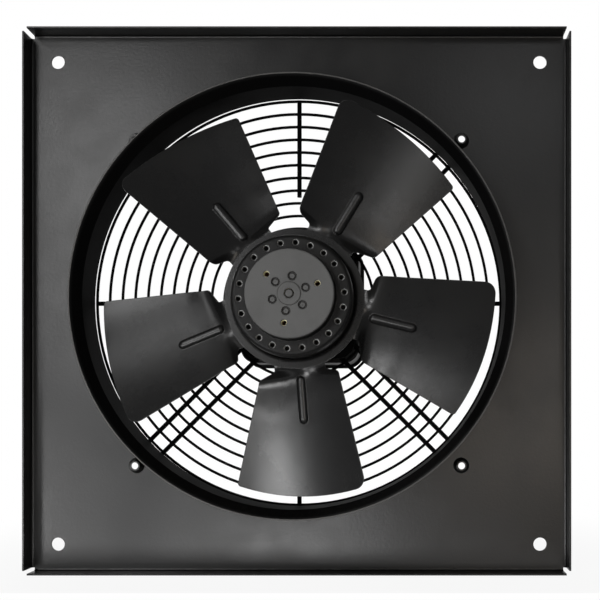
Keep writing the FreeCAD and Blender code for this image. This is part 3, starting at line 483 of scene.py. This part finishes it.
def wound_copper(name, colours, pitch):
    """Varnished wire lying in turns round the fan axis."""
    material, tree, shader = new_finish(name)
    slide = math_node(tree, "ADD", axis_reach(tree), place_along(tree, "Y"))
    wire = ramp_between(tree, wave_along(tree, slide, pitch), *TURN_RANGE)
    touch = use(tree, handling, Smear_Scale=80.0)
    tone = mix_colours(tree, touch["Smear"], *colours)
    set_looks(tree, shader, Base_Color=mix_colours(tree, wire, COPPER_GAP, tone),
              Metallic=0.7, Coat_Weight=0.5,
              Roughness=blend(tree, touch["Smear"], *COPPER_ROUGHNESS),
              Normal=bump(tree, wire, strength=0.8, depth=0.3 * MM))
    return material


def moulded(name, colours, gloss, dull, sheen=FULL_SHEEN):
    """Moulded rubber or plastic with a fine spark-eroded skin."""
    material, tree, shader = new_finish(name)
    grain = use(tree, coat_grain, Peel_Scale=900.0, Grain_Scale=4000.0, Grain_Share=0.5)
    touch = use(tree, handling, Smear_Scale=50.0)
    set_looks(tree, shader, Base_Color=mix_colours(tree, touch["Smear"], *colours),
              Roughness=blend(tree, touch["Smear"], gloss, dull), Specular_IOR_Level=sheen,
              Normal=bump(tree, grain["Height"], strength=0.4, depth=0.2 * MM))
    return material


plate_coat = coated_steel("plate_coat", BLACK_COAT, gloss=0.27, dull=0.34, peel_scale=380.0,
                          peel_depth=0.22 * MM, dull_shade_reach=NOZZLE_REACH)
# the guard's wires within the reach are dulled, and darkened as painted shade
wire_coat = coated_steel("wire_coat", BLACK_COAT, gloss=0.32, dull=0.42, peel_scale=700.0,
                         peel_depth=0.12 * MM, dull_shade_reach=GUARD_REACH)
blade_coat = coated_steel("blade_coat", BLADE_BLACK, gloss=0.235, dull=0.275, peel_scale=460.0,
                          peel_depth=0.05 * MM)
rotor_paint = painted_front("rotor_paint", BLACK_COAT, metal=0.0, face_start=face_plane + 3.0 * MM,
                            shade_share=0.95, well_sheen=WELL_SHEEN)
hub_front = painted_front("hub_front", ZINC, metal=0.2, face_start=face_plane + 0.3 * MM, shade_share=0.0)
shaft_front = painted_front("shaft_front", STEEL, metal=1.0, face_start=face_plane + 2.5 * MM,
                            shade_share=0.9)
ground_steel = turned_metal("ground_steel", STEEL, gloss=0.20, dull=0.36)
vent_edge = turned_metal("vent_edge", VENT_STEEL, gloss=0.26, dull=0.38)
cast_skin = cast_metal("cast_skin", CAST_SKIN)
# painted shade: the cage rings seen through the vents are darkened so that the shaded inside of the rotor
# reads black
shaded_casting = cast_metal("shaded_casting", SHADED_CAST_SKIN)
core_sheets = stacked_sheet("core_sheets", SHEET_STEEL, SHEET_PITCH)
coil_wire = wound_copper("coil_wire", COPPER, COIL_PITCH)
end_insulation = moulded("end_insulation", INSULATION, gloss=0.42, dull=0.55)
box_plastic = moulded("box_plastic", BOX_BLACK, gloss=0.52, dull=0.64, sheen=BOX_SHEEN)
grommet_rubber = moulded("grommet_rubber", RUBBER, gloss=0.55, dull=0.72)


def dress(material, *names):
    for name in names:
        slots = nodes[name].data.materials
        slots.clear()
        slots.append(material)


dress(plate_coat, "wall_plate", "motor_carrier")
dress(wire_coat, *RINGS, *SPOKES, *LEGS)
dress(blade_coat, "impeller")
dress(rotor_paint, "rotor_cup", "rotor_rivets")
dress(hub_front, "shaft_hub")
dress(shaft_front, "shaft")
dress(ground_steel, "motor_screws", "motor_washers", "lid_screws", "retaining_ring", "preload_spring",
      "bearing_rear_outer", "bearing_rear_inner", "bearing_rear_balls",
      "bearing_front_outer", "bearing_front_inner", "bearing_front_balls")
dress(cast_skin, "motor_flange", "bearing_tube")
dress(shaded_casting, "cage_ring_rear", "cage_ring_front")
dress(box_plastic, "terminal_box", "terminal_lid")
dress(core_sheets, "stator_core", "rotor_core")
dress(coil_wire, "winding_rear", "winding_front")
dress(end_insulation, "insulator_rear", "insulator_front")
dress(grommet_rubber, "cable_grommet")


# Detail that the solids leave out

SMOOTH_ANGLE = math.radians(40)
UPRIGHT = (math.radians(90), 0, 0)


def select_only(*pieces):
    """Selects some pieces, the first of them as the active one."""
    bpy.ops.object.select_all(action="DESELECT")
    for piece in pieces:
        piece.select_set(True)
    bpy.context.view_layer.objects.active = pieces[0]


def finish_piece(piece, name, material, body):
    """Names a new piece, dresses it and says what it rides on."""
    piece.name = name
    piece.data.name = name
    piece.data.materials.clear()
    piece.data.materials.append(material)
    select_only(piece)
    bpy.ops.object.shade_smooth_by_angle(angle=SMOOTH_ANGLE)
    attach(piece, body)


def copy_to(piece, places):
    """One piece made of copies of another, one at each place; the first piece is used up."""
    copies = []
    for place in places:
        copy = piece.copy()
        copy.data = piece.data.copy()
        bpy.context.collection.objects.link(copy)
        copy.location = place
        copies.append(copy)
    bpy.data.objects.remove(piece)
    select_only(*copies)
    bpy.ops.object.join()
    whole = bpy.context.object
    bpy.ops.object.transform_apply()
    return whole


def select_where(piece, test):
    """Selects the points of a mesh that pass a test, and what lies between them, and stays in edit mode."""
    bpy.ops.object.mode_set(mode="EDIT")
    bpy.ops.mesh.select_mode(type="VERT")
    bpy.ops.mesh.select_all(action="DESELECT")
    bpy.ops.object.mode_set(mode="OBJECT")
    for vertex in piece.data.vertices:
        vertex.select = test(vertex.co)
    bpy.ops.object.mode_set(mode="EDIT")


# Weld flash: a flattened blob, spread further at its waist
WELD_RADIUS = 1.9 * MM
WELD_FLAT = 0.75
WELD_WAIST = 0.3 * WELD_RADIUS
WELD_SPREAD = 1.15
LEG_GAP = 16.3 * MM


def guard_crossings():
    """Where the rings of the guard lie on its straight wires and on the wire pairs."""
    contact = ring_high.y
    for ring in RINGS:
        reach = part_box(ring)[1].x - ring_wire
        for spoke in SPOKES:
            start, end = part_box(spoke)
            middle = (start + end) / 2
            along = max(range(3), key=lambda axis: end[axis] - start[axis])
            ends = sorted((abs(start[along]), abs(end[along])))
            if ends[0] < reach < ends[1]:
                place = Vector((0.0, contact, 0.0))
                place[along] = math.copysign(reach, middle[along])
                yield place
        run = math.sqrt(reach ** 2 - (LEG_GAP / 2) ** 2)
        for leg in range(len(LEGS)):
            turn = math.radians(45 + 90 * leg)
            for side in (-LEG_GAP / 2, LEG_GAP / 2):
                yield Vector((run * math.cos(turn) - side * math.sin(turn), contact,
                              run * math.sin(turn) + side * math.cos(turn)))


def make_guard_welds():
    """Metal squeezed out where the rings are spot welded to the wires under them."""
    bpy.ops.object.select_all(action="DESELECT")
    bpy.ops.mesh.primitive_uv_sphere_add(segments=12, ring_count=8, radius=WELD_RADIUS)
    blob = bpy.context.object
    select_where(blob, lambda point: True)
    bpy.ops.transform.resize(value=(1.0, WELD_FLAT, 1.0))
    select_where(blob, lambda point: abs(point.y) < WELD_WAIST)
    bpy.ops.transform.resize(value=(WELD_SPREAD, 1.0, WELD_SPREAD))
    bpy.ops.object.mode_set(mode="OBJECT")
    finish_piece(copy_to(blob, list(guard_crossings())), "guard_welds", wire_coat, "frame")


SCREW_HEAD = 3.5 * MM
SCREW_HEAD_HEIGHT = 2.2 * MM
SCREW_CORE = 1.8 * MM
SCREW_CROWN = 0.9 * MM
CROSS_LENGTH = 4.4 * MM
CROSS_WIDTH = 1.1 * MM
CROSS_DEPTH = 1.3 * MM
CROSS_TURNS = (math.radians(45), math.radians(135))


def cut_slot(piece, turn, top):
    """One of the two slots of a cross recess."""
    bpy.ops.mesh.primitive_cube_add(size=1.0, location=(0, top, 0), rotation=(0, turn, 0))
    cutter = bpy.context.object
    cutter.scale = (CROSS_LENGTH, 2 * CROSS_DEPTH, CROSS_WIDTH)
    bpy.ops.object.transform_apply()
    bpy.context.view_layer.objects.active = piece
    cut = piece.modifiers.new("slot", "BOOLEAN")
    cut.operation = "DIFFERENCE"
    cut.object = cutter
    bpy.ops.object.modifier_apply(modifier=cut.name)
    bpy.data.objects.remove(cutter)


def make_lid_screws():
    """The four lid screws with crowned heads and cross recesses."""
    low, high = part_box("lid_screws")
    top = high.y
    under = top - SCREW_HEAD_HEIGHT
    bpy.ops.object.select_all(action="DESELECT")
    bpy.ops.mesh.primitive_cylinder_add(vertices=32, radius=SCREW_HEAD, depth=SCREW_HEAD_HEIGHT,
                                        location=(0, (top + under) / 2, 0), rotation=UPRIGHT)
    bpy.ops.object.transform_apply()
    screw = bpy.context.object
    select_where(screw, lambda point: point.y > top - NEAR)
    bpy.ops.mesh.bevel(offset=SCREW_CROWN, segments=4, affect="EDGES")
    select_where(screw, lambda point: point.y < under + NEAR)
    bpy.ops.mesh.inset(thickness=SCREW_HEAD - SCREW_CORE)
    bpy.ops.mesh.extrude_region_move(TRANSFORM_OT_translate={"value": (0, low.y - under, 0)})
    bpy.ops.object.mode_set(mode="OBJECT")
    for turn in CROSS_TURNS:
        cut_slot(screw, turn, top)
    across = (high.x - SCREW_HEAD, low.x + SCREW_HEAD)
    upright = (high.z - SCREW_HEAD, low.z + SCREW_HEAD)
    screws = copy_to(screw, [Vector((x, 0, z)) for x in across for z in upright])
    finish_piece(screws, "lid_screw_set", ground_steel, "frame")
    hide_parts("lid_screws")


VENT_CIRCLE = 44.7 * MM
VENT_RADIUS = 2.75 * MM
VENT_COUNT = 22
VENT_TURN = math.radians(3.6)
VENT_FLOOR = -51.5 * MM
VENT_ROLL = 1.0 * MM
VENT_SHEET = 0.3 * MM


def make_vent_rims():
    """The rims of the vents, which are pressed inward in a round."""
    bpy.ops.object.select_all(action="DESELECT")
    bpy.ops.mesh.primitive_torus_add(major_radius=VENT_RADIUS, minor_radius=VENT_ROLL, major_segments=28,
                                     minor_segments=24, rotation=UPRIGHT)
    bpy.ops.object.transform_apply()
    rim = bpy.context.object
    select_where(rim, lambda point: point.y > NEAR or math.hypot(point.x, point.z) > VENT_RADIUS + NEAR)
    bpy.ops.mesh.delete(type="VERT")
    bpy.ops.object.mode_set(mode="OBJECT")
    skin = rim.modifiers.new("skin", "SOLIDIFY")
    skin.thickness = VENT_SHEET
    skin.offset = -1.0
    bpy.ops.object.modifier_apply(modifier=skin.name)
    turns = [VENT_TURN + math.tau * index / VENT_COUNT for index in range(VENT_COUNT)]
    places = [Vector((VENT_CIRCLE * math.cos(turn), VENT_FLOOR + VENT_ROLL, VENT_CIRCLE * math.sin(turn)))
              for turn in turns]
    finish_piece(copy_to(rim, places), "vent_rims", vent_edge, "rotor")


make_guard_welds()
make_lid_screws()
make_vent_rims()


# Stage: a pale floor and wall that show white, and soft lights

# The floor is a table top that starts just ahead of the nozzle, so that the blades do not mirror it. Its
# cloth hangs down in front.
STAGE_WIDTH = 9.0
WALL_DISTANCE = 3.0
WALL_HEIGHT = 5.0
FLOOR_FRONT = -0.085
CLOTH_DROP = 1.2
PALE = (0.82, 0.82, 0.82)
CLOTH_ROUGHNESS = 0.9
FLOOR_SHADOW = 0.09
SHADOW_NEAR = 0.30
SHADOW_FAR = 0.60


def make_backdrop_finish(name, keep_shadow):
    """Pale cloth; camera, gloss and glass see it white, less the share near the fan that keeps its shadow."""
    material, tree, shader = new_finish(name)
    set_looks(tree, shader, Base_Color=PALE, Roughness=CLOTH_ROUGHNESS)
    glow = add(tree, "ShaderNodeEmission")
    feed(tree, 1.0, glow.inputs["Strength"])
    path = add(tree, "ShaderNodeLightPath")
    seen = math_node(tree, "MAXIMUM", path.outputs["Is Camera Ray"], path.outputs["Is Glossy Ray"])
    seen = math_node(tree, "MAXIMUM", seen, path.outputs["Is Transmission Ray"])
    reach = length(tree, object_place(tree))
    white = ramp_between(tree, reach, SHADOW_NEAR, SHADOW_FAR, 1.0 - keep_shadow, 1.0)
    cloth = add(tree, "ShaderNodeMixShader")
    feed(tree, math_node(tree, "MULTIPLY", seen, white), cloth.inputs[0])
    feed(tree, shader.outputs[0], cloth.inputs[1])
    feed(tree, glow.outputs[0], cloth.inputs[2])
    output = next(node for node in tree.nodes if node.type == "OUTPUT_MATERIAL")
    feed(tree, cloth.outputs[0], output.inputs["Surface"])
    return material


def add_stage_sheet(name, width, depth, place, turn, material):
    bpy.ops.object.select_all(action="DESELECT")
    bpy.ops.mesh.primitive_plane_add(size=1.0, location=place, rotation=turn)
    sheet = bpy.context.object
    sheet.name = name
    sheet.scale = (width, depth, 1.0)
    bpy.ops.object.transform_apply()
    sheet.data.materials.append(material)


floor_cloth = make_backdrop_finish("floor_cloth", FLOOR_SHADOW)
wall_cloth = make_backdrop_finish("wall_cloth", 0.0)
add_stage_sheet("floor", STAGE_WIDTH, WALL_DISTANCE - FLOOR_FRONT,
                (0, (WALL_DISTANCE + FLOOR_FRONT) / 2, floor_height), (0, 0, 0), floor_cloth)
add_stage_sheet("floor_drop", STAGE_WIDTH, CLOTH_DROP,
                (0, FLOOR_FRONT, floor_height - CLOTH_DROP / 2), UPRIGHT, wall_cloth)
add_stage_sheet("wall", STAGE_WIDTH, WALL_HEIGHT,
                (0, WALL_DISTANCE, floor_height + WALL_HEIGHT / 2), UPRIGHT, wall_cloth)


LIGHTS_BACK = -1.6
WHITE = (1.0, 1.0, 1.0)
WARM = (1.0, 0.89, 0.77)
WORLD_GREY = 0.15


def add_softbox(name, place, aim, width, height, glow, colour=WHITE):
    """A soft light panel; glow is the brightness of its face."""
    data = bpy.data.lights.new(name, "AREA")
    data.shape = "RECTANGLE"
    data.size = width
    data.size_y = height
    data.energy = glow * math.pi * width * height
    data.color = colour
    light = bpy.data.objects.new(name, data)
    bpy.context.collection.objects.link(light)
    light.location = place
    light.rotation_euler = (Vector(aim) - Vector(place)).to_track_quat("-Z", "Y").to_euler()


def add_front_softbox(name, across, up, width, height, glow, colour=WHITE):
    """A soft light panel that hangs square to the fan, behind the camera."""
    add_softbox(name, (across, LIGHTS_BACK, up), (across, 0, up), width, height, glow, colour)


add_front_softbox("left_strip", across=-0.73, up=0.40, width=0.36, height=0.80, glow=9.8)
add_front_softbox("left_high_panel", across=-0.80, up=0.72, width=0.45, height=0.35, glow=2.8)
add_front_softbox("low_front_panel", across=-0.27, up=-0.52, width=0.42, height=0.32, glow=14.5)
add_front_softbox("right_panel", across=0.45, up=-0.15, width=0.40, height=0.45, glow=3.2, colour=WARM)
add_front_softbox("right_high_panel", across=0.42, up=0.80, width=0.40, height=0.40, glow=1.9)
add_front_softbox("far_right_panel", across=0.88, up=0.12, width=0.32, height=0.40, glow=4.2)
add_softbox("low_left_panel", place=(-1.20, -1.50, -0.50), aim=(0, 0, -0.20), width=0.38, height=0.44,
            glow=22.0)
add_softbox("rear_panel", place=(-0.90, 1.50, 0.80), aim=(0, 0, 0), width=0.70, height=0.70, glow=3.0)
add_softbox("upper_left_panel", place=(-1.20, -1.50, 1.30), aim=(-0.15, 0, 0), width=0.50, height=0.50,
            glow=3.6)


def make_world():
    """A dim, even grey all round."""
    world = bpy.data.worlds.new("studio")
    bpy.context.scene.world = world
    world.use_nodes = True
    surround = world.node_tree.nodes["Background"]
    set_looks(world.node_tree, surround, Color=WHITE, Strength=WORLD_GREY)


def make_camera():
    """A camera that looks square at the plate, with its picture shifted to frame the fan."""
    data = bpy.data.cameras.new("camera")
    data.sensor_width = SENSOR
    data.lens = SENSOR * -CAMERA_PLACE.y / (PLATE_SCALE * MM * PICTURE)
    middle = (PICTURE - 1) / 2
    data.shift_x = (middle - SIGHT_COLUMN) / PICTURE
    data.shift_y = (SIGHT_ROW - middle) / PICTURE
    data.clip_start = CAMERA_CLIP
    camera = bpy.data.objects.new("camera", data)
    bpy.context.collection.objects.link(camera)
    camera.location = CAMERA_PLACE
    camera.rotation_euler = UPRIGHT
    bpy.context.scene.camera = camera


make_world()
make_camera()
bpy.context.scene.view_settings.view_transform = "Standard"
